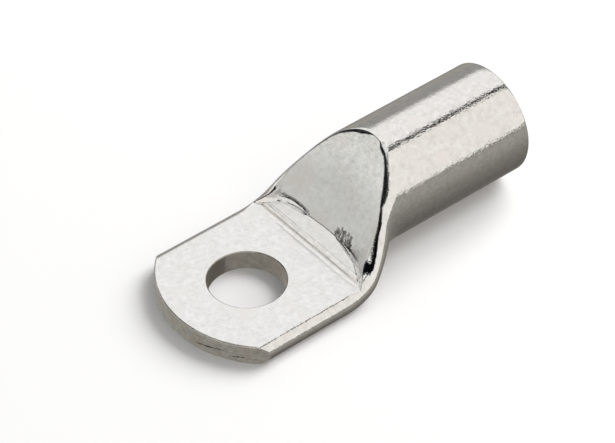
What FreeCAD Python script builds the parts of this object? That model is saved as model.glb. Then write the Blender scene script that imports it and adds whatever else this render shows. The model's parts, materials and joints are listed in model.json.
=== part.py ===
"""Tubular cable lug, pressed from one piece of copper tube and tin plated.

Frame, in millimetres: the origin is the axis of the stud hole on the underside of the palm, +X runs
along the barrel to its open mouth, +Y is across the palm, and +Z is up. The palm and the barrel both
lie on the plane z = 0.
"""

import FreeCAD, Part
import math
import os

from FreeCAD import Vector

# Tube that the lug is pressed from
barrel_diameter = 26.0
wall = 2.5
barrel_mouth_x = 68.4
mouth_break = 0.4

# Palm, the tube pressed flat
palm_thickness = 4.8
palm_front_x = -18.4
palm_front_radius = 24.0
palm_crown = 0.12

# Stud hole, clearance for an M16 stud
stud_hole_diameter = 17.0

# Blanking: how far the punch and the die draw the top edges down, and the slits where the two
# flattened walls gape in the sheared front, measured across the palm and down from mid-thickness
edge_break = 0.3
seam_depth = 0.6
seam_gape = 0.24
long_slit_start_y = -5.3
long_slit_start_drop = 0.9
long_slit_end_y = -11.8
long_slit_end_drop = 0.15
short_slit_start_y = -13.0
short_slit_start_drop = 1.15
short_slit_end_y = -15.5
short_slit_end_drop = 0.75

# Ramp, the flat that the press leaves between the palm and the barrel
palm_end_x = 17.0
ledge_height = 0.15
ledge_width = 0.8
lens_run = 3.9
lens_rise = 1.3
ramp_top_x = 34.7
ramp_hollow_radius = 34.0

# Flare, where the flat tube opens out to the round one
flare_foot_x = 18.1
flare_head_x = 28.9
flare_foot_radius = 9.6
flare_head_radius = 6.0
flare_swell = 0.9
flare_lift = 0.4
flare_start_x = 11.0
flare_end_x = 39.0
flare_step = 2.0
throat_gap = 0.6

# Corner angles of the oval sections, measured from the horizontal
palm_corner_angle = math.radians(89.2)
round_corner_angle = math.radians(45)

# Room that a cutting shape has beyond the metal
spare = 10.0

barrel_radius = barrel_diameter / 2
bore_radius = barrel_radius - wall


def flare_height(x):
    """Height of the tube at x: flat, a tangent arc, a straight slope, a tangent arc, then round."""
    slope = math.atan2(barrel_diameter - palm_thickness, flare_head_x - flare_foot_x)
    foot_tangent = flare_foot_radius * math.tan(slope / 2)
    head_tangent = flare_head_radius * math.tan(slope / 2)
    foot_start = flare_foot_x - foot_tangent
    head_end = flare_head_x + head_tangent
    if x <= foot_start:
        return palm_thickness
    if x >= head_end:
        return barrel_diameter
    if x < flare_foot_x + foot_tangent * math.cos(slope):
        drop = math.sqrt(flare_foot_radius ** 2 - (x - foot_start) ** 2)
        return palm_thickness + flare_foot_radius - drop
    if x > flare_head_x - head_tangent * math.cos(slope):
        rise = math.sqrt(flare_head_radius ** 2 - (head_end - x) ** 2)
        return barrel_diameter - flare_head_radius + rise
    return palm_thickness + (x - flare_foot_x) * math.tan(slope)


def oval(x, half_width, half_height, corner, centre_z):
    """Closed wire of four tangent arcs, two for the crowns and two for the sides."""
    cosine = math.cos(corner)
    sine = math.sin(corner)
    scale = cosine + sine - 1
    crown = (half_width * sine - half_height * (1 - cosine)) / scale
    side = (half_height * cosine - half_width * (1 - sine)) / scale
    corner_y = crown * cosine
    corner_z = half_height - crown * (1 - sine)
    top = Vector(x, 0, centre_z + half_height)
    bottom = Vector(x, 0, centre_z - half_height)
    left = Vector(x, -half_width, centre_z)
    right = Vector(x, half_width, centre_z)
    top_left = Vector(x, -corner_y, centre_z + corner_z)
    top_right = Vector(x, corner_y, centre_z + corner_z)
    bottom_left = Vector(x, -corner_y, centre_z - corner_z)
    bottom_right = Vector(x, corner_y, centre_z - corner_z)
    arcs = [
        Part.Arc(top_left, top, top_right),
        Part.Arc(top_right, right, bottom_right),
        Part.Arc(bottom_right, bottom, bottom_left),
        Part.Arc(bottom_left, left, top_left),
    ]
    return Part.Wire([arc.toShape() for arc in arcs])


def tube_section(x, inset):
    """Outline of the tube at x, shrunk by inset, with the wall's middle line at its full length."""
    height = flare_height(x)
    opened = (height - palm_thickness) / (barrel_diameter - palm_thickness)
    half_width = height / 2 + math.pi * (barrel_diameter - height) / 4
    half_width += flare_swell * math.sin(math.pi * opened)
    half_height = height / 2 + palm_crown * (1 - opened) ** 2
    corner = palm_corner_angle + (round_corner_angle - palm_corner_angle) * opened
    centre_z = height / 2 + flare_lift * math.sin(math.pi * opened)
    return oval(x, half_width - inset, half_height - inset, corner, centre_z)


def prism(profile, half_width):
    """Solid of a profile in the XZ plane, from -half_width to +half_width along Y."""
    points = [Vector(x, -half_width, z) for x, z in profile]
    wire = Part.makePolygon(points + points[:1])
    return Part.Face(wire).extrude(Vector(0, 2 * half_width, 0))


def stations(start, end):
    count = max(2, round((end - start) / flare_step))
    return [start + (end - start) * n / count for n in range(count + 1)]


def revolved(profile):
    """Solid turned about the barrel's axis, from points of x and distance from that axis."""
    points = [Vector(x, 0, barrel_radius + radius) for x, radius in profile]
    face = Part.Face(Part.makePolygon(points + points[:1]))
    return face.revolve(Vector(0, 0, barrel_radius), Vector(1, 0, 0), 360)


flat_end_x = palm_end_x + ledge_width
lens_end_x = flat_end_x + lens_run
lens_end_z = palm_thickness + lens_rise
ramp_slope = (barrel_diameter - lens_end_z) / (ramp_top_x - lens_end_x)
front_centre_x = palm_front_x + palm_front_radius
waste_x = palm_front_x - spare


def press_tool(offset):
    """What the press pushes down into the tube, moved into the metal by offset.

    Its underside makes the palm's top, a low ledge and the lens facet beyond it. Its front makes the
    ramp, which is hollow across its width.
    """
    reach = barrel_diameter + spare
    side = barrel_diameter
    foot_x = lens_end_x - lens_end_z / ramp_slope + offset * math.hypot(1, ramp_slope) / ramp_slope
    edge_x = foot_x - ramp_hollow_radius + math.sqrt(ramp_hollow_radius ** 2 - side ** 2)
    nose = Part.Arc(Vector(edge_x, -side, 0), Vector(foot_x, 0, 0), Vector(edge_x, side, 0)).toShape()
    back = Part.makePolygon([
        Vector(edge_x, side, 0),
        Vector(waste_x - spare, side, 0),
        Vector(waste_x - spare, -side, 0),
        Vector(edge_x, -side, 0),
    ])
    plan = Part.Face(Part.Wire([nose] + back.Edges))
    block = plan.extrude(Vector(reach / ramp_slope, 0, reach))
    below = prism([
        (waste_x - 2 * spare, -spare),
        (waste_x - 2 * spare, palm_thickness - offset),
        (palm_end_x, palm_thickness - offset),
        (palm_end_x, palm_thickness + ledge_height - offset),
        (flat_end_x, palm_thickness + ledge_height - offset),
        (lens_end_x, lens_end_z - offset),
        (ramp_top_x + reach, lens_end_z - offset),
        (ramp_top_x + reach, -spare),
    ], side + spare)
    return block.cut(below)


def turned(profile, axis_x):
    """Solid turned about the upright line at axis_x, from points of radius and height."""
    points = [Vector(axis_x + radius, 0, z) for radius, z in profile]
    face = Part.Face(Part.makePolygon(points + points[:1]))
    return face.revolve(Vector(axis_x, 0, 0), Vector(0, 0, 1), 360)


def blanking_post(radius, spread, axis_x):
    """Upright post with straight walls, which widens by spread at the height of the palm's top."""
    return turned([
        (0, -spare),
        (radius, -spare),
        (radius, palm_thickness - abs(spread)),
        (radius + spread, palm_thickness),
        (radius + spread, palm_thickness + spare),
        (0, palm_thickness + spare),
    ], axis_x)


def slit(start_y, start_drop, end_y, end_drop):
    """Blade with a pointed, two-arc section that runs along X through the front edge."""
    middle_z = palm_thickness / 2
    start = Vector(waste_x, start_y, middle_z - start_drop)
    end = Vector(waste_x, end_y, middle_z - end_drop)
    halfway = (start + end) / 2
    gape = Vector(0, 0, seam_gape / 2)
    lips = [
        Part.Arc(start, halfway + gape, end),
        Part.Arc(end, halfway - gape, start),
    ]
    outline = Part.Wire([lip.toShape() for lip in lips])
    return Part.Face(outline).extrude(Vector(front_centre_x - waste_x, 0, 0))


# Outer skin: the flattened tube, the flare and the round barrel
flat_tube = Part.Face(tube_section(waste_x, 0)).extrude(Vector(flare_start_x - waste_x, 0, 0))
flare = Part.makeLoft([tube_section(x, 0) for x in stations(flare_start_x, flare_end_x)], True)
barrel = revolved([
    (flare_end_x, 0),
    (flare_end_x, barrel_radius),
    (barrel_mouth_x - mouth_break, barrel_radius),
    (barrel_mouth_x, barrel_radius - mouth_break),
    (barrel_mouth_x, 0),
])
table_end_x = flare_foot_x
table = prism([
    (waste_x - spare, 0),
    (table_end_x, 0),
    (table_end_x, -spare),
    (waste_x - spare, -spare),
], barrel_diameter)
skin = flat_tube.fuse([flare, barrel]).cut([press_tool(0), table])

# Inside: the bore for the conductor, and the throat that closes to nothing under the ramp
throat_x = flare_start_x
while flare_height(throat_x) / 2 < wall + throat_gap:
    throat_x += flare_step / 8
throat = Part.makeLoft([tube_section(x, wall) for x in stations(throat_x, flare_end_x)], True)
bore = revolved([
    (flare_end_x, 0),
    (flare_end_x, bore_radius),
    (barrel_mouth_x - mouth_break, bore_radius),
    (barrel_mouth_x, bore_radius + mouth_break),
    (barrel_mouth_x + spare, bore_radius + mouth_break),
    (barrel_mouth_x + spare, 0),
])
cavity = throat.fuse(bore).cut(press_tool(wall))

# Blanking: the round front edge with its seam, and the stud hole
blank = blanking_post(palm_front_radius, -edge_break, front_centre_x)
front_waste = prism([
    (waste_x - spare, -spare),
    (front_centre_x, -spare),
    (front_centre_x, palm_thickness + spare),
    (waste_x - spare, palm_thickness + spare),
], barrel_diameter).cut(blank)
seam_floor_radius = palm_front_radius - seam_depth
seam_floor = Part.makeCylinder(seam_floor_radius, palm_thickness, Vector(front_centre_x, 0, 0))
seam = [
    slit(long_slit_start_y, long_slit_start_drop, long_slit_end_y, long_slit_end_drop).cut(seam_floor),
    slit(short_slit_start_y, short_slit_start_drop, short_slit_end_y, short_slit_end_drop).cut(seam_floor),
]
stud_hole = blanking_post(stud_hole_diameter / 2, edge_break, 0)

lug = skin.cut([cavity, front_waste, stud_hole] + seam)
print("lug valid:", lug.isValid(), "solids:", len(lug.Solids), "faces:", len(lug.Faces))
print("volume in cubic millimetres:", round(lug.Volume, 1))
lug = lug.Solids[0]

os.makedirs("parts", exist_ok=True)
lug.exportStep("parts/lug_body.step")
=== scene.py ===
# %% [markdown]
# # A tubular cable lug in tin-plated copper
#
# The lug starts as a piece of copper tube. A press squeezes one end flat, so the tube flares out
# sideways, and leaves a sloping ramp between the flat palm and the round barrel. The palm is then
# sheared to a round front and punched for a stud, and the whole piece is plated with tin.
#
# The construction comes first, as the frame. Everything below is fitted to it, in metres.

# %% Load the frame
import json
import math

import bmesh
import bpy
import numpy as np
from mathutils import Matrix, Vector, noise


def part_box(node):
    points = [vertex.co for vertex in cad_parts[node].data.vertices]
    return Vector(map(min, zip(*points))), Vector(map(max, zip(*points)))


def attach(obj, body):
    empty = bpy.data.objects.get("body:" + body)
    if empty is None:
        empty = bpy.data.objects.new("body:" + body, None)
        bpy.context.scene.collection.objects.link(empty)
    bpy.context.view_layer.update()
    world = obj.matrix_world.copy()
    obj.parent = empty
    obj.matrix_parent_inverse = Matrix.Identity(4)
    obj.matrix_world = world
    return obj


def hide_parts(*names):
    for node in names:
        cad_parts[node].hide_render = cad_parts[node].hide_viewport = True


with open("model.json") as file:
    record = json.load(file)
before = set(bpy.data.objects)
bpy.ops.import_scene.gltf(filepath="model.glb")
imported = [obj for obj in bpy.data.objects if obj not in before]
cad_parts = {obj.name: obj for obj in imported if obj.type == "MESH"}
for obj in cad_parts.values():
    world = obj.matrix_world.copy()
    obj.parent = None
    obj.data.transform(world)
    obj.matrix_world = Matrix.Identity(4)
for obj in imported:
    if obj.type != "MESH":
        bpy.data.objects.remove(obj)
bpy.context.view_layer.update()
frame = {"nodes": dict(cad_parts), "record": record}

lug_low, lug_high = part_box("lug_body")
lug_size = [round((high - low) * 1000, 1) for low, high in zip(lug_low, lug_high)]
print("frame:", sorted(frame["nodes"]), "size in mm:", lug_size)

# %% [markdown]
# ## The sizes that the form needs
#
# The frame gives the overall box and the mounts. The palm, the bore and both ends are read from them.
# The wall is the tube's own size, and the sizes of the ramp and the flare are the press's. Everything is
# in millimetres here, and is turned to metres when a mesh is made, because small numbers such as 0.0048
# are hard to read.

# %% Sizes in millimetres
MM = 0.001
mounts = {mount["name"]: mount for mount in frame["record"]["mounts"]}
wall = 2.5
bore_radius = mounts["barrel_bore"]["dims"]["r_mm"]
barrel_radius = bore_radius + wall
barrel_diameter = 2 * barrel_radius
mouth_x = lug_high[0] / MM
front_x = lug_low[0] / MM
palm_thickness = mounts["stud_hole"]["dims"]["length_mm"]
stud_radius = mounts["stud_hole"]["dims"]["r_mm"]

# The sheared front is an arc, and the broken edges are a little round
front_radius = 24.0
front_centre_x = front_x + front_radius
mouth_break = 0.4
edge_break = 0.3

# The press leaves a flat, a low ledge, a lens-shaped facet and a ramp that is hollow across its width
palm_end_x = 17.0
ledge_height = 0.15
ledge_width = 0.8
lens_run = 3.9
lens_rise = 1.3
ramp_top_x = 34.7
ramp_hollow_radius = 34.0

# The flare, as it is seen from the side, and how much wider and higher it swells halfway
flare_foot_x = 18.1
flare_head_x = 28.9
flare_foot_radius = 9.6
flare_head_radius = 6.0
flare_swell = 0.9
flare_lift = 0.4
palm_crown = 0.12
palm_corner = math.radians(89.2)
round_corner = math.radians(45)

lens_x = palm_end_x + ledge_width
lens_end_x = lens_x + lens_run
lens_end_z = palm_thickness + lens_rise
ramp_slope = (barrel_diameter - lens_end_z) / (ramp_top_x - lens_end_x)
throat_past_lens = 1.5
throat_x = lens_end_x + throat_past_lens
ramp_angle = math.degrees(math.atan(ramp_slope))
print("tube", round(barrel_diameter, 2), "wall", round(wall, 2), "ramp at", round(ramp_angle, 1), "degrees")

# %% [markdown]
# ## The tube's section
#
# Cut across, the tube is an oval of four tangent arcs: two long crowns and two tight sides where it is
# flat, and four equal quarters where it is round. Its height follows the side view of the flare, and its
# width follows from the height, because the wall's length round the tube stays the same.

# %% The tube's height and section at each place along it
def tube_height(x):
    """Flat, a tangent arc, a straight slope, a tangent arc, then round."""
    slope = math.atan2(barrel_diameter - palm_thickness, flare_head_x - flare_foot_x)
    foot_tangent = flare_foot_radius * math.tan(slope / 2)
    head_tangent = flare_head_radius * math.tan(slope / 2)
    foot_start = flare_foot_x - foot_tangent
    head_end = flare_head_x + head_tangent
    foot_arc = palm_thickness + flare_foot_radius - np.sqrt(
        np.clip(flare_foot_radius ** 2 - (x - foot_start) ** 2, 0, None))
    head_arc = barrel_diameter - flare_head_radius + np.sqrt(
        np.clip(flare_head_radius ** 2 - (head_end - x) ** 2, 0, None))
    straight = palm_thickness + (x - flare_foot_x) * math.tan(slope)
    return np.select(
        [x <= foot_start, x < flare_foot_x + foot_tangent * math.cos(slope),
         x < flare_head_x - head_tangent * math.cos(slope), x < head_end],
        [palm_thickness, foot_arc, straight, head_arc],
        barrel_diameter)


def section(x, inset=0.0):
    """Half width, half height, corner angle, middle height, crown radius and side radius at x."""
    height = tube_height(x)
    opened = (height - palm_thickness) / (barrel_diameter - palm_thickness)
    pushed_out = math.pi * (barrel_diameter - height) / 4
    half_width = height / 2 + pushed_out + flare_swell * np.sin(math.pi * opened)
    half_height = height / 2 + palm_crown * (1 - opened) ** 2
    centre_z = height / 2 + flare_lift * np.sin(math.pi * opened)
    corner = palm_corner + (round_corner - palm_corner) * opened
    half_width = half_width - inset
    half_height = half_height - inset
    scale = np.cos(corner) + np.sin(corner) - 1
    crown = (half_width * np.sin(corner) - half_height * (1 - np.cos(corner))) / scale
    side = (half_height * np.cos(corner) - half_width * (1 - np.sin(corner))) / scale
    return half_width, half_height, corner, centre_z, crown, side


# %% Points on the tube
SIDE_SHARE = 0.42


def tube_point(x, turn, inset=0.0):
    """Y and Z on the tube at x. turn runs from 0 at the bottom, once round, to 1.

    SIDE_SHARE of each quarter turn lies on the tight side, and the rest on the crown.
    """
    half_width, half_height, corner, centre_z, crown, side = section(x, inset)
    # A quarter turn from the side's middle to the crown's middle, mirrored four times
    quarter = np.abs(((turn + 0.5) % 1.0) - 0.5) * 2
    up = np.where(quarter > 0.5, 1.0, -1.0)
    rise = np.abs(quarter - 0.5) * 2
    on_side = rise < SIDE_SHARE
    side_angle = np.clip(rise / SIDE_SHARE, 0, 1) * corner
    crown_angle = corner + np.clip((rise - SIDE_SHARE) / (1 - SIDE_SHARE), 0, 1) * (math.pi / 2 - corner)
    y = np.where(on_side, half_width - side + side * np.cos(side_angle), crown * np.cos(crown_angle))
    z = np.where(on_side, side * np.sin(side_angle), half_height - crown + crown * np.sin(crown_angle))
    y = y * np.where(turn < 0.5, 1.0, -1.0)
    return y, centre_z + z * up


print("height at 20, 25 and 30:", [round(float(tube_height(np.array(v))), 2) for v in (20.0, 25.0, 30.0)])

# %% [markdown]
# ## The press tool
#
# The tool's underside makes the palm, the low ledge and the lens-shaped facet, and its front makes the
# ramp. The foot of the ramp is beaten down further than the rest, most of all on the far side, and this
# bends the crease between lens and ramp towards the barrel there.

# %% Height of the press tool
def soft_top(low, high, radius):
    """The higher of two heights, with a small radius in the valley between them."""
    near = np.clip(radius - np.abs(low - high), 0, None)
    return np.maximum(low, high) + near ** 2 / (4 * radius)


# Places across the palm, how far the ramp's foot is sunk there, and how far up the ramp it shows
SUNK_AT = [-18, -12, -7, 0, 3, 7, 8, 11, 13, 14.4, 15.3, 17.5]
SUNK_BY = [0.0, 0.6, 0.6, 0.45, 0.5, 1.05, 1.45, 2.2, 2.5, 2.4, 1.4, 0.0]
SUNK_RUN = 7.0
LENS_SLOPE = (lens_rise - ledge_height) / lens_run
VALLEY_RADIUS = 0.12


def sunk_depth(y):
    """How far the foot of the ramp is beaten down, more so on the far side."""
    return np.interp(y, SUNK_AT, SUNK_BY)


def crease_x(y):
    """Where the lens meets the ramp."""
    return lens_end_x - y * y / (2 * ramp_hollow_radius) + sunk_depth(y) / (ramp_slope - LENS_SLOPE)


def press_surface(x, y, offset=0.0):
    """Height of the press tool's underside and front above the point x, y."""
    slab = np.where(x < palm_end_x, palm_thickness, palm_thickness + ledge_height)
    lens = palm_thickness + ledge_height + (x - lens_x) * LENS_SLOPE
    slab = np.maximum(slab, lens)
    along = x - lens_end_x - offset * math.hypot(1, ramp_slope) / ramp_slope
    ramp = lens_end_z + (along + y * y / (2 * ramp_hollow_radius)) * ramp_slope
    fade = np.clip(1 - (x - crease_x(y)) / SUNK_RUN, 0, 1) ** 2
    return soft_top(slab - offset, ramp - sunk_depth(y) * fade, VALLEY_RADIUS)


print("crease near, in the middle and far:", [round(float(crease_x(v)), 2) for v in (-12, 0, 12)])

# %% [markdown]
# ## Marks that the press leaves
#
# The press doesn't leave perfect planes. Its edge pinches two fine beads across the end of the palm, and
# where the ramp starts the skin folds over itself in two thin crescents and is torn above them. Such
# marks are only tenths of a millimetre high, yet polished metal shows them as bright and dark lines, so
# they are real height here and not a picture of lines.

# %% The beads
def bump_at(value, middle, half_width):
    """A smooth hump of height 1 that ends half_width away from its middle."""
    return np.clip(1 - ((value - middle) / half_width) ** 2, 0, None) ** 2


# Each bead or groove: its place along the palm, its half width and its height
BEADS = [
    (16.2, 0.7, -0.05),
    (17.05, 0.36, 0.08),
    (17.48, 0.2, -0.03),
    (17.85, 0.36, 0.08),
    (18.4, 0.3, -0.04),
]
BEADS_END_Y = 16.6
BEADS_FADE = 1.2


def beads(x, y):
    """Fine ridges across the palm that wander a little and fade towards its sides."""
    wander = x + 0.04 * np.sin(y * 0.5) + 0.02 * np.sin(y * 1.9 + 1)
    fade = np.clip((BEADS_END_Y - np.abs(y)) / BEADS_FADE, 0, 1)
    return fade * sum(height * bump_at(wander, middle, half) for middle, half, height in BEADS)


# %% The two folded lips
CRESCENTS = {
    "far": {"from_y": 5.6, "to_y": 15.3, "width": 0.75, "lift": 0.32, "cut": 0.8},
    "near": {"from_y": -2.4, "to_y": -13.8, "width": 0.5, "lift": 0.26, "cut": 0.45},
}
LIP_RISE = 0.12
LIP_FALL = 0.1
LIP_OVERLAP = 0.06
GROOVE_DEPTH = 0.06
GROOVE_HALF_WIDTH = 0.1
CUT_HALF_WIDTH = 0.2


def crescents(x, y):
    """Thin lips that stand on the lens at the foot of the ramp, each with a sharp cut behind it."""
    past_crease = x - crease_x(y)
    total = np.zeros_like(past_crease)
    for lip in CRESCENTS.values():
        along = np.clip((y - lip["from_y"]) / (lip["to_y"] - lip["from_y"]), 0, 1)
        swell = np.sin(math.pi * along) ** 0.7
        width = lip["width"] * swell + 1e-6
        rising = np.clip((past_crease + width) / LIP_RISE, 0, 1)
        sinking = np.clip((LIP_OVERLAP - past_crease) / LIP_FALL, 0, 1)
        thicker_behind = 0.6 + 0.4 * np.clip((past_crease + width) / width, 0, 1)
        total += lip["lift"] * swell * rising * sinking * thicker_behind
        total -= GROOVE_DEPTH * swell * bump_at(past_crease, -width - LIP_OVERLAP, GROOVE_HALF_WIDTH)
        total -= lip["cut"] * swell ** 1.5 * bump_at(past_crease, CUT_HALF_WIDTH, CUT_HALF_WIDTH)
    return total


# %% The torn spot
# Each dent: its place across the ramp, its place past the crease, its half sizes both ways and its depth
TEARS = [
    (-2.6, 0.5, 0.5, 0.9, 0.16),
    (-3.6, 0.8, 0.4, 0.7, 0.3),
    (-4.7, 0.7, 0.55, 0.9, 0.22),
    (-6.0, 0.8, 0.5, 0.7, 0.28),
    (-7.1, 0.75, 0.45, 0.8, 0.3),
    (-7.9, 0.4, 0.3, 0.4, 0.2),
    (13.6, 0.35, 0.1, 0.5, 0.12),
]
MARKS_FROM_X = 15.0
MARKS_TO_X = 27.0


def tears(x, y):
    """Ragged dents just above the crescents."""
    past_crease = x - crease_x(y)
    ragged = 0.2 * np.sin(x * 6 + y * 2) * np.sin(y * 5 - x * 3)
    dent = np.zeros_like(past_crease)
    for at_y, at_x, size_y, size_x, depth in TEARS:
        spread = ((y - at_y) / size_y) ** 2 + ((past_crease - at_x) / size_x) ** 2
        dent = np.maximum(dent, depth * np.clip(1 - spread + ragged * (spread < 1.5), 0, 1))
    return -dent


def press_marks(x, y):
    """All the marks, in the stretch where the palm turns into the ramp."""
    near_crease = (x > MARKS_FROM_X) & (x < MARKS_TO_X)
    return np.where(near_crease, beads(x, y) + crescents(x, y) + tears(x, y), 0.0)


print("marks:", len(BEADS), "beads and grooves,", len(CRESCENTS), "folded lips,", len(TEARS), "dents")

# %% [markdown]
# ## The rim of the ramp
#
# The metal bends round the rim of the ramp and isn't cut there. The rim is tight at the top of the ramp
# and wide on the near side. Two skins meet at it: the tube and the press. Each gives every point a
# distance, below zero inside the metal, and the two are joined by an arc of a circle. A few Newton steps
# bring each point of the rim on the joined skin.

# %% The rim's radius
# Places across the palm, the radius of the rim there, and the heights between which it grows to that
RIM_ACROSS = [-18, -16, -14.5, -12, -8, -5, -4, -3, -2.2, 0, 1.5, 3, 5, 8, 18]
RIM_RADIUS = [0.3, 0.6, 1.1, 2.3, 2.8, 1.5, 2.0, 1.8, 0.1, 0.1, 1.2, 1.8, 1.2, 0.5, 0.25]
RIM_START_Z = 4.7
RIM_FULL_Z = 8.4
RIM_TIGHT = 0.12
ROOM_IN_SIDE = 0.6


def rim_radius(x, y, z):
    """Radius of the rim, never more than the tube's tight side has room for."""
    grown = np.clip((z - RIM_START_Z) / (RIM_FULL_Z - RIM_START_Z), 0, 1)
    radius = RIM_TIGHT + (np.interp(y, RIM_ACROSS, RIM_RADIUS) - RIM_TIGHT) * grown
    side = section(x)[-1]
    return np.minimum(radius, ROOM_IN_SIDE * side)


# %% Distance from the tube and from the press
def from_tube(x, y, z):
    """Distance from the tube's skin within its section, by the arc that is nearest."""
    half_width, half_height, corner, centre_z, crown, side = section(x)
    across = np.abs(y)
    up = np.abs(z - centre_z)
    from_side = across - (half_width - side)
    on_side = (from_side > 0) & (np.arctan2(up, from_side) < corner)
    return np.where(
        on_side,
        np.hypot(from_side, up) - side,
        np.hypot(across, up - (half_height - crown)) - crown)


def from_press(x, y, z):
    """Height above the press tool's surface."""
    return z - press_surface(x, y)


# %% The arc between them
def levelled(distance, point):
    """The distance and its slope along X, Y and Z, scaled so that the slope is 1."""
    step = 1e-4
    value = distance(*point)
    slope = np.stack([
        (distance(*[c + step * (axis == n) for n, c in enumerate(point)]) - value) / step
        for axis in range(3)
    ])
    length = np.linalg.norm(slope, axis=0)
    return value / length, slope / length


def bend_round_rim(point):
    """Moves points of the sharp rim onto the rounded one."""
    newton_steps = 6
    for _ in range(newton_steps):
        tube, tube_slope = levelled(from_tube, point)
        press, press_slope = levelled(from_press, point)
        radius = rim_radius(*point)
        alike = np.sum(tube_slope * press_slope, axis=0)
        spread = np.maximum(1 - alike ** 2, 1e-3)
        tube_part = (tube + radius - alike * (press + radius)) / spread
        press_part = (press + radius - alike * (tube + radius)) / spread
        corner = (tube_part > 0) & (press_part > 0)
        arm = tube_slope * tube_part + press_slope * press_part
        reach = np.maximum(np.linalg.norm(arm, axis=0), 1e-9)
        step = np.where(corner, (reach - radius) / reach, 0)
        point = [c - step * part for c, part in zip(point, arm)]
    return point


# %% [markdown]
# ## The pressed skin
#
# Drawing such a form point by point would take days. A flat grid is rolled up instead: its rows become
# stations along the tube and its columns go once round it. Wherever the tube would stand above the
# press tool, it is pushed down under it, and this is how the palm, the low ledge, the lens-shaped facet
# and the ramp appear. The stations are closer together where the form changes fast, and near the ramp's
# foot they bend to follow the crease, so that the crease is one clean line. At the mouth the rows turn
# in and run back inside, so outside and bore are one sheet.

# %% The path that the skin follows, outside and then back inside
def skin_path():
    """Rows of: how many stations since the row before, x, and depth below the outer skin."""
    path = [
        (0, front_x - 1.6, 0.0),
        (28, 12.0, 0.0),
        (10, 15.8, 0.0),
        (44, 18.8, 0.0),
        (20, 21.0, 0.0),
        (42, 22.8, 0.0),
        (26, 25.5, 0.0),
        (42, 33.2, 0.0),
        (30, 35.2, 0.0),
        (8, 41.0, 0.0),
        (16, mouth_x - mouth_break, 0.0),
    ]
    lip_steps = 4
    angles = [step / lip_steps * math.pi / 2 for step in range(lip_steps + 1)]
    for angle in angles[1:]:
        x = mouth_x - mouth_break * (1 - math.sin(angle))
        path.append((1, x, mouth_break * (1 - math.cos(angle))))
    for angle in angles:
        x = mouth_x - mouth_break * (1 - math.cos(angle))
        path.append((1, x, wall - mouth_break * (1 - math.sin(angle))))
    path.append((10, 41.0, wall))
    path.append((24, throat_x, wall))
    return path


print("stations along the skin:", sum(row[0] for row in skin_path()))

# %% Bend the stations along the crease
FOLLOW_X = [18.6, 22.0, 23.5, 34.0]
FOLLOW_SHARE = [0, 1, 1, 0]
FOLLOW_FADE = 0.06
CREASE_STATION_X = 22.0
FURTHEST_SHIFT = -2.6


def follow_crease(x, y, turn, depth):
    """Shifts the outer skin's upper half along the tube, most where the crease is."""
    on_top = np.clip((0.25 - np.abs(turn - 0.5)) / FOLLOW_FADE, 0, 1)
    share = np.interp(x, FOLLOW_X, FOLLOW_SHARE) * (depth == 0) * on_top
    return x + share * np.maximum(crease_x(y) - CREASE_STATION_X, FURTHEST_SHIFT)


# %% Say which finish each place has
PLATED, PALM, RAMP, DENT_SHADE, PUNCHED, SHEARED, BORE = range(7)
BURNISHED_FROM = 16.7
BURNISHED_TO = 18.3
RAMP_FOOT_Z = palm_thickness + lens_rise - 1.5
ON_PRESS = 0.05
NEAR_PRESS = 0.5
DENT_SHADE_DEPTH = 0.07
SATIN_BELOW_RIM = 0.1
SATIN_SHARE_OF_RIM = 0.27


def zones(x, y, z, depth):
    """The finish of each place on the skin, mostly by how far it lies below the press tool."""
    below = press_surface(x, y) - z
    past_crease = x > crease_x(y)
    burnished = (x > BURNISHED_FROM) & (x < BURNISHED_TO)
    # The deepest parts of the dents get painted shade
    shaded_dent = (tears(x, y) < -DENT_SHADE_DEPTH) & past_crease
    satin = below < SATIN_BELOW_RIM + SATIN_SHARE_OF_RIM * rim_radius(x, y, z)
    choices = [
        (BORE, depth > wall / 2),
        (DENT_SHADE, (below < NEAR_PRESS) & shaded_dent),
        (PLATED, (below < ON_PRESS) & burnished),
        (PALM, (below < ON_PRESS) & (x < crease_x(y))),
        (RAMP, satin & (z > RAMP_FOOT_Z) & past_crease),
    ]
    return np.select([place for _, place in choices], [finish for finish, _ in choices], PLATED)


# %% Roll a grid into the pressed tube
# About an eighth of the columns lies on each lower quarter, and the rest on the upper half
COLUMN_SHARES = [0, 0.12, 0.88, 1]
COLUMN_TURNS = [0, 0.25, 0.75, 1]
MARKED_DEPTH = 0.02


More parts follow.
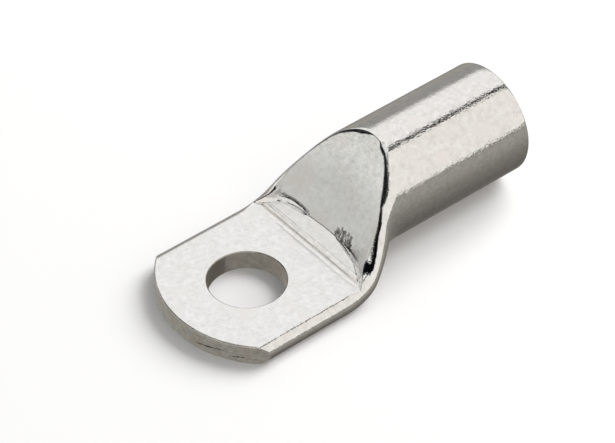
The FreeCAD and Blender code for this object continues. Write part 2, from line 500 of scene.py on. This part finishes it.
def rolled_tube(name, turns):
    """The tube's skin, rolled, pressed, bent at the rim and marked, with its finishes."""
    rows = skin_path()
    row_at = np.cumsum([row[0] for row in rows])
    bm = bmesh.new()
    bmesh.ops.create_grid(bm, x_segments=int(row_at[-1]), y_segments=turns, size=1.0)
    mesh = bpy.data.meshes.new(name)
    bm.to_mesh(mesh)
    bm.free()
    co = np.empty(len(mesh.vertices) * 3)
    mesh.vertices.foreach_get("co", co)
    co = co.reshape(-1, 3)
    row = (co[:, 0] + 1) / 2 * row_at[-1]
    turn = np.interp((co[:, 1] + 1) / 2, COLUMN_SHARES, COLUMN_TURNS)
    turn = np.where(turn > 1 - 1e-6, 0.0, turn)
    x = np.interp(row, row_at, [r[1] for r in rows])
    depth = np.interp(row, row_at, [r[2] for r in rows])
    y, z = tube_point(x, turn, depth)
    x = follow_crease(x, y, turn, depth)
    y, z = tube_point(x, turn, depth)
    z = np.minimum(z, press_surface(x, y, depth))
    z = np.where(x < flare_head_x, np.maximum(z, depth), z)
    outside = (depth == 0) & (x > palm_end_x - 1) & (x < ramp_top_x + 3) & (z > RIM_START_Z - 1)
    x[outside], y[outside], z[outside] = bend_round_rim([x[outside], y[outside], z[outside]])
    marked = (depth == 0) & (z > press_surface(x, y) - MARKED_DEPTH) & (x < MARKS_TO_X)
    z = z + np.where(marked, press_marks(x, y), 0.0)
    mesh.vertices.foreach_set("co", (np.stack([x, y, z], 1) * MM).ravel())
    finish_at = zones(x, y, z, depth)
    corners = np.empty(len(mesh.loops), dtype=np.int32)
    mesh.loops.foreach_get("vertex_index", corners)
    finish_of_face = finish_at[corners.reshape(-1, 4)].max(axis=1)
    mesh.polygons.foreach_set("material_index", finish_of_face.astype(np.int32))
    return mesh


# %% Close the seam and the two ends
MERGE_DISTANCE = 0.0005 * MM


def closed_lug(skin):
    """Joins the grid's first and last columns and fills the flat end and the throat."""
    bm = bmesh.new()
    bm.from_mesh(skin)
    bmesh.ops.remove_doubles(bm, verts=bm.verts, dist=MERGE_DISTANCE)
    bmesh.ops.holes_fill(bm, edges=[edge for edge in bm.edges if edge.is_boundary], sides=0)
    bmesh.ops.recalc_face_normals(bm, faces=bm.faces)
    mesh = bpy.data.meshes.new("lug")
    bm.to_mesh(mesh)
    still_open = sum(edge.is_boundary for edge in bm.edges)
    print("open edges:", still_open, "volume in cubic mm:", round(bm.calc_volume() / MM ** 3))
    bm.free()
    return mesh


def new_piece(name, mesh):
    """An object at the origin that shows the mesh."""
    piece = bpy.data.objects.new(name, mesh)
    bpy.context.scene.collection.objects.link(piece)
    return piece


COLUMNS = 296
lug = new_piece("lug", closed_lug(rolled_tube("skin", COLUMNS)))

# %% [markdown]
# ## Shearing and punching
#
# The round front, the stud hole and the slits between the two flattened walls are cuts. Each cutter is a
# short bmesh form, and the Boolean modifier takes it out of the lug. A punch draws the top edge down a
# little before it breaks through, so the cutters flare at the palm's top. The cut faces keep the
# cutter's material slot, so that the sheared edge can get its own torn finish.

# %% The profile of a cut
def solid_from(bm, name):
    """Turns a finished bmesh, its faces outwards, into an object."""
    bmesh.ops.recalc_face_normals(bm, faces=bm.faces)
    mesh = bpy.data.meshes.new(name)
    bm.to_mesh(mesh)
    bm.free()
    return new_piece(name, mesh)


def drawn_down(radius, spread, steps=4):
    """Profile of a cut wall: upright, then curving out by spread where the edge is drawn down."""
    curve_from = palm_thickness - abs(spread)
    wall_levels = [-10, 0, 0.6, 1.2, 1.8, 2.4, 3.0, 3.6, curve_from]
    profile = [(radius, z) for z in wall_levels]
    # The curve stops a little short of level, and a short slope leads it out past the palm's top
    widest_angle = math.pi / 2.3
    for step in range(1, steps + 1):
        angle = step / steps * widest_angle
        profile.append((
            radius + spread * (1 - math.cos(angle)),
            curve_from + abs(spread) * math.sin(angle)))
    profile.append((profile[-1][0] + spread * 0.6, palm_thickness + 0.15))
    profile.append((profile[-1][0], palm_thickness + 10))
    return profile


# %% The cutters for the hole and the front
TEAR_ACROSS = 1.7
TEAR_UP = 0.5


def spun(name, profile, axis_x, turn, steps, roughness):
    """A face of radius and height, spun about the upright line at axis_x.

    Its wall is torn: noise pulls it in by up to roughness, in scores that are longer upright.
    """
    bm = bmesh.new()
    face = bm.faces.new([bm.verts.new(((axis_x - r) * MM, 0, z * MM)) for r, z in profile])
    whole = abs(turn - 2 * math.pi) < 1e-6
    bmesh.ops.rotate(bm, verts=bm.verts, cent=(axis_x * MM, 0, 0), matrix=Matrix.Rotation(-turn / 2, 3, "Z"))
    if whole:
        geometry = list(bm.edges)
        bm.faces.remove(face)
    else:
        geometry = bm.faces[:] + bm.edges[:] + bm.verts[:]
    bmesh.ops.spin(bm, geom=geometry, cent=(axis_x * MM, 0, 0), axis=(0, 0, 1), angle=turn, steps=steps,
                   use_merge=whole)
    bmesh.ops.remove_doubles(bm, verts=bm.verts, dist=MERGE_DISTANCE)
    for vert in bm.verts:
        out = Vector((vert.co.x - axis_x * MM, vert.co.y, 0))
        if 0 <= vert.co.z <= palm_thickness * MM and out.length > 0:
            across_x = out.x / MM * TEAR_ACROSS
            across_y = out.y / MM * TEAR_ACROSS
            about = Vector((across_x, across_y, vert.co.z / MM * TEAR_UP))
            vert.co += out.normalized() * (noise.noise(about) - 1) / 2 * roughness * MM
    return solid_from(bm, name)


def punch():
    """The post that punches the stud hole."""
    profile = drawn_down(stud_radius, edge_break)
    return spun(
        "punch", profile + [(0, profile[-1][1]), (0, profile[0][1])],
        axis_x=0, turn=2 * math.pi, steps=180, roughness=0.03)


def trimmings():
    """The waste round the front: a half ring outside the cut."""
    profile = drawn_down(front_radius, -edge_break)
    room = 25
    outer = front_radius + room
    return spun(
        "trimmings", profile + [(outer, profile[-1][1]), (outer, profile[0][1])],
        axis_x=front_centre_x, turn=math.pi, steps=260, roughness=0.08)


# %% The slits where the walls gape
# Points of each slit across the front: Y and height
SLITS = {
    "long": [(-5.3, 1.5), (-7.0, 1.68), (-8.7, 2.0), (-10.2, 2.2), (-11.8, 2.25)],
    "short": [(-13.0, 1.25), (-14.2, 1.42), (-15.5, 1.65)],
}
SLIT_GAPE = 0.36
SLIT_DEPTH = 0.7


def front_at(y):
    """X of the sheared front at y."""
    return front_centre_x - math.sqrt(front_radius ** 2 - y * y)


def slit(name, line):
    """A blade with a pointed outline along the line, which reaches SLIT_DEPTH into the front."""
    bm = bmesh.new()
    bmesh.ops.create_circle(bm, cap_ends=True, segments=48, radius=1.0)
    ys, zs = zip(*line)
    order = np.argsort(ys)
    for vert in bm.verts:
        along = (1 - vert.co.x) / 2
        wavering = 0.75 + 0.25 * math.sin(along * 17)
        half_gape = SLIT_GAPE / 2 * vert.co.y * wavering
        y = ys[0] + along * (ys[-1] - ys[0])
        z = np.interp(y, np.array(ys)[order], np.array(zs)[order]) + half_gape
        vert.co = Vector((front_at(y) - 1, y, z)) * MM
    grown = bmesh.ops.extrude_face_region(bm, geom=bm.faces[:])
    inner = [item for item in grown["geom"] if isinstance(item, bmesh.types.BMVert)]
    bmesh.ops.translate(bm, verts=inner, vec=((1 + SLIT_DEPTH) * MM, 0, 0))
    return solid_from(bm, name)


def cut(target, cutter):
    """Takes the cutter out of the target, and the cut faces keep the cutter's finish."""
    modifier = target.modifiers.new(cutter.name, "BOOLEAN")
    modifier.object = cutter
    modifier.operation = "DIFFERENCE"
    modifier.solver = "EXACT"
    modifier.material_mode = "TRANSFER"


cutters = [punch(), trimmings()] + [slit("slit_" + name, line) for name, line in SLITS.items()]
print("cutters:", [cutter.name for cutter in cutters])

# %% [markdown]
# ## Tin over copper
#
# Copper lugs are plated with tin, so that they don't tarnish and can sit on aluminium or steel. Tin is
# a soft, slightly warm white metal. As a metal it has no colour of its own under the gloss: all that the
# eye sees is what it mirrors, tinted by the base colour and blurred by the roughness. What tells the
# zones apart is how they were worked. The drawn tube is bright and faintly mottled, the palm is squeezed
# flat and brushed, the ramp is satin, and the sheared walls are torn and greyer.
#
# The real mottle of tin has grains of less than a tenth of a millimetre. They would vanish in the
# picture, so the finest pattern here is 0.25 mm wide.

# %% Small helpers for materials
def linear(hex_colour):
    """Turns a colour as it is seen, such as #F5F3F0, into the linear values that the light needs."""
    channels = [int(hex_colour[n:n + 2], 16) / 255 for n in (1, 3, 5)]
    return [c / 12.92 if c <= 0.04045 else ((c + 0.055) / 1.055) ** 2.4 for c in channels] + [1.0]


def add(tree, kind, settings=None, **links):
    """Adds a node. settings are its own properties, and links give a value or a socket to an input."""
    node = tree.nodes.new(kind)
    for key, value in (settings or {}).items():
        setattr(node, key, value)
    for key, value in links.items():
        name = key.replace("_", " ")
        socket = node.inputs[int(key[1:])] if key[0] == "i" and key[1:].isdigit() else node.inputs[name]
        if isinstance(value, bpy.types.NodeSocket):
            tree.links.new(value, socket)
        else:
            socket.default_value = value
    return node


def per_metre(size_mm):
    """Texture scale of a pattern whose repeat is size_mm."""
    return 1 / (size_mm * MM)


# %% Painted shade on the lower part of the ramp
RAMP_SHADE_FROM_Z = 13
RAMP_SHADE_TO_Z = 22


def shade_low_on_ramp(tree, place, tint, low_tone):
    """Darkens the tint by low_tone towards the bottom of the ramp as painted shade, and less so higher up."""
    height = add(tree, "ShaderNodeSeparateXYZ", Vector=place).outputs["Z"]
    share = add(tree, "ShaderNodeMapRange", {"interpolation_type": "SMOOTHSTEP"}, Value=height,
                From_Min=RAMP_SHADE_FROM_Z * MM, From_Max=RAMP_SHADE_TO_Z * MM, To_Min=low_tone, To_Max=1.0)
    level = share.outputs[0]
    grey = add(tree, "ShaderNodeCombineColor", Red=level, Green=level, Blue=level)
    return add(tree, "ShaderNodeMix", {"data_type": "RGBA", "blend_type": "MULTIPLY"}, i0=1.0,
               i6=tint.outputs[2], i7=grey.outputs[0])


# %% Tin, one recipe for all the finishes
CLOUD_SIZE = 1.3
STAIN_SIZE = 4.5


def tin(name, dark, light, warm, roughness, spread, grain, waves, streaks=None, low_tone=1.0):
    """Metal whose tint wanders from dark to light, with stains of warm and a fine relief.

    The roughness wanders by spread. grain and waves each give the size and the depth of a relief in
    millimetres, and streaks gives these and how much longer its pattern is along X, Y and Z.
    """
    material = bpy.data.materials.new(name)
    material.use_nodes = True
    tree = material.node_tree
    shader = tree.nodes["Principled BSDF"]
    shader.inputs["Metallic"].default_value = 1.0
    place = add(tree, "ShaderNodeTexCoord").outputs["Object"]
    cloud = add(tree, "ShaderNodeTexNoise",
                Vector=place, Scale=per_metre(CLOUD_SIZE), Detail=6.0, Roughness=0.65)
    stain = add(tree, "ShaderNodeTexNoise", Vector=place, Scale=per_metre(STAIN_SIZE), Detail=2.0)
    # Noise seldom leaves 0.3 to 0.7, so those are its limits, and the stains are its upper end alone
    stained = add(tree, "ShaderNodeMapRange", Value=stain.outputs["Fac"], From_Min=0.52, From_Max=0.72)
    tone = add(tree, "ShaderNodeMapRange", Value=cloud.outputs["Fac"], From_Min=0.3, From_Max=0.7)
    tint = add(tree, "ShaderNodeMix", {"data_type": "RGBA"},
               i0=tone.outputs[0], i6=linear(dark), i7=linear(light))
    tint = add(tree, "ShaderNodeMix", {"data_type": "RGBA"},
               i0=stained.outputs[0], i6=tint.outputs[2], i7=linear(warm))
    # The ramp's lower part is darkened by painted shade
    if low_tone < 1:
        tint = shade_low_on_ramp(tree, place, tint, low_tone)
    tree.links.new(tint.outputs[2], shader.inputs["Base Color"])
    rough = add(tree, "ShaderNodeMapRange", Value=cloud.outputs["Fac"], From_Min=0.3, From_Max=0.7,
                To_Min=roughness + spread, To_Max=roughness - spread)
    tree.links.new(rough.outputs[0], shader.inputs["Roughness"])
    patterns = []
    for size, depth in (waves, grain):
        pattern = add(tree, "ShaderNodeTexNoise", Vector=place, Scale=per_metre(size), Detail=2.0)
        patterns.append((pattern, depth))
    if streaks:
        size, depth, stretch = streaks
        squeezed = [per_metre(size) / factor for factor in stretch]
        drawn = add(tree, "ShaderNodeMapping", Vector=place, Scale=squeezed)
        pattern = add(tree, "ShaderNodeTexNoise", Vector=drawn.outputs["Vector"], Scale=1.0, Detail=3.0)
        patterns.append((pattern, depth))
    under = {}
    for pattern, depth in patterns:
        bump = add(tree, "ShaderNodeBump",
                   Height=pattern.outputs["Fac"], Distance=depth * MM, Strength=1.0, **under)
        under = {"Normal": bump.outputs["Normal"]}
    tree.links.new(under["Normal"], shader.inputs["Normal"])
    return material


# %% The finishes, in the order of their numbers
ALONG_X = (40, 1, 1)
UPRIGHT = (1, 1, 12)
ALONG_FRONT = (14, 14, 1)
finishes = [
    # Drawn through a die and left alone: nearly a mirror, so the tube shows the tent's bands crisply
    tin("tin_on_drawn_tube", "#DEDBD6", "#F5F3F0", "#EDE8E4", 0.07, 0.02, (0.5, 0.035), (2.6, 0.03)),
    # Squeezed between flat tools: reflections blur to an even pale sheet with hair lines along the lug
    tin("tin_on_pressed_palm", "#E3E2DF", "#F5F4F2", "#EDEAE6", 0.2, 0.04, (0.4, 0.03), (3.0, 0.02),
        (0.25, 0.02, ALONG_X)),
    # Stretched over the press's front: satin, with painted shade that darkens its lower part
    tin("tin_on_pressed_ramp", "#DDDDDA", "#ECEBE8", "#E3DFDA", 0.18, 0.04, (0.6, 0.016), (2.4, 0.03),
        low_tone=0.75),
    # Painted shade in the deepest part of the dents: dark flecks that run out into the ramp's own tone
    tin("tin_on_torn_spot", "#454442", "#D0CFCC", "#9C9A97", 0.3, 0.05, (0.3, 0.06), (0.8, 0.06)),
    # Scraped by the punch: dull and grey, with upright scores that break the light
    tin("tin_on_punched_wall", "#A19D96", "#B9B4AC", "#B3A99F", 0.3, 0.06, (0.3, 0.02), (1.2, 0.04),
        (0.9, 0.06, UPRIGHT)),
    # Sheared off: grainy bright and dark layers that run along the edge
    tin("tin_on_sheared_front", "#B6B3AD", "#D4D1CA", "#C2B8AE", 0.28, 0.06, (0.3, 0.03), (1.2, 0.05),
        (0.45, 0.08, ALONG_FRONT)),
    # Thinly plated where little of the bath reaches: dull, faintly warm, with the draw lines left
    tin("tin_inside_bore", "#CFCCC6", "#DBD8D2", "#CDC3B8", 0.3, 0.05, (0.5, 0.02), (3.0, 0.05),
        (0.4, 0.02, ALONG_X)),
]
for piece in [lug] + cutters:
    for finish in finishes:
        piece.data.materials.append(finish)
for cutter in cutters:
    for face in cutter.data.polygons:
        face.material_index = PUNCHED if cutter.name == "punch" else SHEARED
print("finishes:", [finish.name for finish in finishes])

# %% [markdown]
# ## The finished lug
#
# The cuts are made once the cutters carry their finishes, and the result becomes the lug's own mesh. Then
# the faces are shaded smooth, apart from edges that are truly sharp.

# %% Make the cuts
SHARP_FROM = 32


def settle(target):
    """Puts the result of the modifiers in the piece's own mesh."""
    shaped = bpy.data.meshes.new_from_object(
        target.evaluated_get(bpy.context.evaluated_depsgraph_get()))
    target.modifiers.clear()
    target.data = shaped


for cutter in cutters:
    cut(lug, cutter)
settle(lug)
for cutter in cutters:
    bpy.data.objects.remove(cutter)
lug.data.shade_smooth()
lug.data.set_sharp_from_angle(angle=math.radians(SHARP_FROM))
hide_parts("lug_body")
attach(lug, "root")
print("lug:", len(lug.data.polygons), "faces", [round(v * 1000, 2) for v in lug.dimensions])

# %% [markdown]
# ## The camera
#
# The camera looks down on the lug from the palm's near side. It stands 0.6 m away with a long lens, so
# far lines keep nearly the same scale as near ones. The stud hole's centre is put at its own pixel.

# %% Camera
PICTURE = (615, 443)
CAMERA_AZIMUTH = math.radians(-39.99)
CAMERA_ELEVATION = math.radians(42.572)
CAMERA_ROLL = math.radians(0.488)
CAMERA_DISTANCE = 0.60508
FOCAL_PIXELS = 2856.7
HOLE_PIXEL = (247.059, 295.666)
SENSOR_WIDTH = 36.0
back = Vector((
    math.sin(CAMERA_AZIMUTH) * math.cos(CAMERA_ELEVATION),
    -math.cos(CAMERA_AZIMUTH) * math.cos(CAMERA_ELEVATION),
    math.sin(CAMERA_ELEVATION),
))
level = Vector((math.cos(CAMERA_AZIMUTH), math.sin(CAMERA_AZIMUTH), 0))
upright = back.cross(level)
right = level * math.cos(CAMERA_ROLL) + upright * math.sin(CAMERA_ROLL)
up = upright * math.cos(CAMERA_ROLL) - level * math.sin(CAMERA_ROLL)
offset_x = (HOLE_PIXEL[0] - PICTURE[0] / 2) / FOCAL_PIXELS * CAMERA_DISTANCE
offset_y = -(HOLE_PIXEL[1] - PICTURE[1] / 2) / FOCAL_PIXELS * CAMERA_DISTANCE
place = back * CAMERA_DISTANCE - right * offset_x - up * offset_y
camera = bpy.data.objects.new("camera", bpy.data.cameras.new("camera"))
camera.data.sensor_width = SENSOR_WIDTH
camera.data.lens = SENSOR_WIDTH * FOCAL_PIXELS / PICTURE[0]
camera.data.clip_start = 0.01
camera.matrix_world = Matrix.Translation(place) @ Matrix((right, up, back)).transposed().to_4x4()
bpy.context.scene.collection.objects.link(camera)
bpy.context.scene.camera = camera
print("lens in mm:", round(camera.data.lens, 1))

# %% [markdown]
# ## Studio
#
# A bright metal shows its surroundings, so the studio is half of the finish. The lug lies in a light
# tent. A diffuser hangs over the far side and another over the near side, a grey wall stands low behind
# them, and the tent is darker below the table. The narrow gap between the diffusers draws the thin dark
# line along the barrel, the post at the far side draws the arc at the top of the ramp, and the dark
# opening at the palm's end draws the band down the ramp's near rim.
#
# Each part of the tent is a card. It is given by the directions that it fills as seen from the lug: from
# where to where along an axis, and how soft its borders are. SLANT runs upright from the ramp's own
# plane, and GAP runs across the gap between the diffusers.

# %% The cards of the tent
TENT_BASE = "#F8F6F3"
FAR = ("Y", 0.0, 2, 0.02)
CARDS = [
    ("far diffuser", "#FDFDFD", [FAR]),
    ("thin middle of the far diffuser", "#EEEEEC", [
        FAR, ("X", -0.3, 0.12, 0.12), ("Z", 0.76, 2, 0.04)]),
    ("far wall", "#9C9C9A", [FAR, ("Z", -2, 0.43, 0.09)]),
    ("wall before the ramp", "#F6F6F4", [
        ("X", -2, -0.2, 0.15), ("Y", -0.4, 2, 0.1), ("Z", -2, 0.43, 0.09)]),
    ("below the table", "#A19E9A", [("X", 0.25, 2, 0.12), ("Z", -2, -0.03, 0.02)]),
    ("under the barrel", "#7C7975", [("X", 0.25, 2, 0.12), ("Z", -2, -0.45, 0.3)]),
    ("below the table, before the palm", "#B8B6B1", [("X", -2, 0.25, 0.12), ("Z", -2, -0.3, 0.25)]),
    ("straight down", "#4E4C49", [("Z", -2, -0.85, 0.2)]),
    ("table's rim", "#3A3838", [
        ("Y", -2, -0.2, 0.02), ("X", -0.2, 2, 0.1), ("Z", -0.03, 0.012, 0.012)]),
    ("post at the far side", "#141416", [
        ("X", -0.6, -0.1, 0.03), ("Y", 0.5, 0.84, 0.03), ("Z", 0.25, 0.76, 0.03)]),
    ("opening at the palm's end", "#0C0D12", [
        ("X", -2, -0.48, 0.03), ("Y", -0.45, 2, 0.04), ("SLANT", -0.2, 2, 0.02), ("Z", -2, 0.8, 0.04)]),
    ("gap between the diffusers", "#0A0A0C", [
        ("GAP", -1, 1, 0.2), ("SLANT", -0.2, 2, 0.02), ("Z", 0.2, 2, 0.05)]),
]
GAP_MIDDLE = -0.02
GAP_HALF_WIDTH = 0.055
GAP_WIDENS_BY = 0.2
GAP_WIDENS_FROM_X = -0.45
GAP_WIDENS_TO_X = -0.8
SLANT_OF_RAMP = (0.539, 0.0, 0.842)
print("cards in the tent:", len(CARDS))

# %% The axes that the cards are measured along
world = bpy.data.worlds.new("light_tent")
bpy.context.scene.world = world
world.use_nodes = True
sky = world.node_tree
sky.nodes.clear()
direction = add(sky, "ShaderNodeTexCoord").outputs["Generated"]
parts = add(sky, "ShaderNodeSeparateXYZ", Vector=direction)
slant = add(sky, "ShaderNodeVectorMath", {"operation": "DOT_PRODUCT"}, i0=direction, i1=SLANT_OF_RAMP)
widen = add(sky, "ShaderNodeMapRange", {"interpolation_type": "SMOOTHSTEP"},
            Value=parts.outputs["X"], From_Min=GAP_WIDENS_FROM_X, From_Max=GAP_WIDENS_TO_X,
            To_Min=GAP_HALF_WIDTH, To_Max=GAP_HALF_WIDTH + GAP_WIDENS_BY)
from_gap = add(sky, "ShaderNodeMath", {"operation": "SUBTRACT"}, i0=parts.outputs["Y"], i1=GAP_MIDDLE)
gap_share = add(sky, "ShaderNodeMath", {"operation": "DIVIDE"}, i0=from_gap.outputs[0], i1=widen.outputs[0])
axes = {
    "X": parts.outputs["X"],
    "Y": parts.outputs["Y"],
    "Z": parts.outputs["Z"],
    "SLANT": slant.outputs["Value"],
    "GAP": gap_share.outputs[0],
}


# %% Lay the cards over one another
def between(value, low, high, soft):
    """1 where value lies between low and high, with soft borders."""
    rise = add(sky, "ShaderNodeMapRange", {"interpolation_type": "SMOOTHSTEP"},
               Value=value, From_Min=low - soft, From_Max=low + soft)
    fall = add(sky, "ShaderNodeMapRange", {"interpolation_type": "SMOOTHSTEP"},
               Value=value, From_Min=high - soft, From_Max=high + soft, To_Min=1.0, To_Max=0.0)
    both = add(sky, "ShaderNodeMath", {"operation": "MULTIPLY"}, i0=rise.outputs[0], i1=fall.outputs[0])
    return both.outputs[0]


colour = add(sky, "ShaderNodeRGB").outputs[0]
colour.default_value = linear(TENT_BASE)
for title, hex_colour, bounds in CARDS:
    share = None
    for axis, low, high, soft in bounds:
        part = between(axes[axis], low, high, soft)
        if share:
            part = add(sky, "ShaderNodeMath", {"operation": "MULTIPLY"}, i0=share, i1=part).outputs[0]
        share = part
    laid = add(sky, "ShaderNodeMix", {"data_type": "RGBA", "label": title},
               i0=share, i6=colour, i7=linear(hex_colour))
    colour = laid.outputs[2]

# %% [markdown]
# ## The tent's strength and the lamp
#
# What the camera sees of the tent, itself or in the metal, has full strength, so white is white. The
# light that the tent spreads on the table is weaker, and the rest of the table's light comes from one
# large lamp beyond the barrel's mouth. This leaves a soft shadow that falls towards the palm. The lamp
# isn't seen in the metal.

# %% The tent's strength
SEEN_STRENGTH = 1.0
SPREAD_STRENGTH = 0.68
ray = add(sky, "ShaderNodeLightPath")
seen = add(sky, "ShaderNodeMath", {"operation": "ADD"},
           i0=ray.outputs["Is Camera Ray"], i1=ray.outputs["Is Glossy Ray"])
seen = add(sky, "ShaderNodeMath", {"operation": "ADD"},
           i0=seen.outputs[0], i1=ray.outputs["Is Transmission Ray"])
strength = add(sky, "ShaderNodeMapRange", Value=seen.outputs[0], To_Min=SPREAD_STRENGTH, To_Max=SEEN_STRENGTH)
background = add(sky, "ShaderNodeBackground", Color=colour, Strength=strength.outputs[0])
add(sky, "ShaderNodeOutputWorld", Surface=background.outputs[0])
print("strength of the tent: seen", SEEN_STRENGTH, "spread", SPREAD_STRENGTH)

# %% A soft lamp for the shadow
LAMP_WATTS = 38.0
LAMP_SIZE = 1.4
lamp_data = bpy.data.lights.new("window", "AREA")
lamp_data.energy = LAMP_WATTS
lamp_data.size = LAMP_SIZE
lamp = bpy.data.objects.new("window", lamp_data)
lamp_place = Vector((1.45, 0.05, 1.2))
lamp.matrix_world = Matrix.Translation(lamp_place) @ lamp_place.to_track_quat("Z", "Y").to_matrix().to_4x4()
lamp.visible_glossy = False
bpy.context.scene.collection.objects.link(lamp)
print("lamp:", LAMP_WATTS, "watts,", round(lamp_place.length, 2), "m away")

# %% [markdown]
# ## The table
#
# A sheet of white paper takes the shadow. It is dull, so it shows no sheen, and the metal doesn't see it.
# What the metal shows from below is the tent's own cards instead, which are greyer than paper.

# %% The table
TABLE_HALF_SIZE = 2.0


def table():
    """A wide flat sheet at the height of the lug's underside."""
    bm = bmesh.new()
    bmesh.ops.create_grid(bm, x_segments=1, y_segments=1, size=TABLE_HALF_SIZE)
    mesh = bpy.data.meshes.new("table")
    bm.to_mesh(mesh)
    bm.free()
    paper = bpy.data.materials.new("white_paper")
    paper.use_nodes = True
    shader = paper.node_tree.nodes["Principled BSDF"]
    shader.inputs["Base Color"].default_value = linear("#FAFAFA")
    shader.inputs["Roughness"].default_value = 0.9
    shader.inputs["Specular IOR Level"].default_value = 0.2
    mesh.materials.append(paper)
    return new_piece("table", mesh)


paper_table = table()
paper_table.visible_glossy = False
print("table:", [round(v, 1) for v in paper_table.dimensions])

# %% [markdown]
# ## Finish
#
# The colours are shown as they are written.

# %% Finish
bpy.context.scene.view_settings.view_transform = "Standard"
